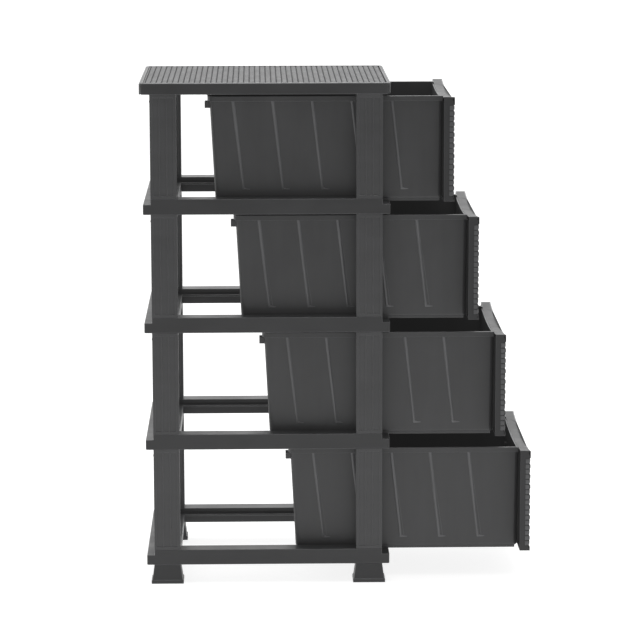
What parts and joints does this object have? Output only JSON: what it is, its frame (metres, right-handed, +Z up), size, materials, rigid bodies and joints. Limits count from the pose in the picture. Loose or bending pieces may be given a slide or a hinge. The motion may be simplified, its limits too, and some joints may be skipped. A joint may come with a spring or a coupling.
{
  "type": "drawer storage tower",
  "caption": "Floor-standing plastic storage tower: deep bins with woven-look fronts slide between corner posts on open shelf frames under a woven-look top.",
  "frame": {"origin": "on the floor, under the middle of the overall box with the drawers as they stand open at rest", "axes": "+Z up, the longest extent; -Y to the front, the way the drawers open; +X to the right as seen from the front, the shortest extent"},
  "size_m": [0.318, 0.6296, 0.8174],
  "materials": {
    "frame_plastic": "satin moulded polypropylene, anthracite grey",
    "drawer_plastic": "satin moulded polypropylene, anthracite grey"
  },
  "bodies": {
    "frame": {"top_panel": "frame_plastic", "shelf_frame_1": "frame_plastic", "post_1_front_left": "frame_plastic", "post_1_front_right": "frame_plastic", "post_1_rear_left": "frame_plastic", "post_1_rear_right": "frame_plastic", "shelf_frame_2": "frame_plastic", "post_2_front_left": "frame_plastic", "post_2_front_right": "frame_plastic", "post_2_rear_left": "frame_plastic", "post_2_rear_right": "frame_plastic", "shelf_frame_3": "frame_plastic", "post_3_front_left": "frame_plastic", "post_3_front_right": "frame_plastic", "post_3_rear_left": "frame_plastic", "post_3_rear_right": "frame_plastic", "shelf_frame_4": "frame_plastic", "post_4_front_left": "frame_plastic", "post_4_front_right": "frame_plastic", "post_4_rear_left": "frame_plastic", "post_4_rear_right": "frame_plastic", "foot_front_left": "frame_plastic", "foot_front_right": "frame_plastic", "foot_rear_left": "frame_plastic", "foot_rear_right": "frame_plastic"},
    "drawer_1": {"drawer_bin_1": "drawer_plastic", "drawer_front_1": "drawer_plastic"},
    "drawer_2": {"drawer_bin_2": "drawer_plastic", "drawer_front_2": "drawer_plastic"},
    "drawer_3": {"drawer_bin_3": "drawer_plastic", "drawer_front_3": "drawer_plastic"},
    "drawer_4": {"drawer_bin_4": "drawer_plastic", "drawer_front_4": "drawer_plastic"}
  },
  "joints": [
    {"name": "drawer_1_slide", "type": "slide", "parent": "frame", "child": "drawer_1", "axis": [0, -1, 0], "range_m": [-0.097, 0.171]},
    {"name": "drawer_2_slide", "type": "slide", "parent": "frame", "child": "drawer_2", "axis": [0, -1, 0], "range_m": [-0.1375, 0.1305]},
    {"name": "drawer_3_slide", "type": "slide", "parent": "frame", "child": "drawer_3", "axis": [0, -1, 0], "range_m": [-0.1825, 0.0855]},
    {"name": "drawer_4_slide", "type": "slide", "parent": "frame", "child": "drawer_4", "axis": [0, -1, 0], "range_m": [-0.2245, 0.0435]}
  ]
}
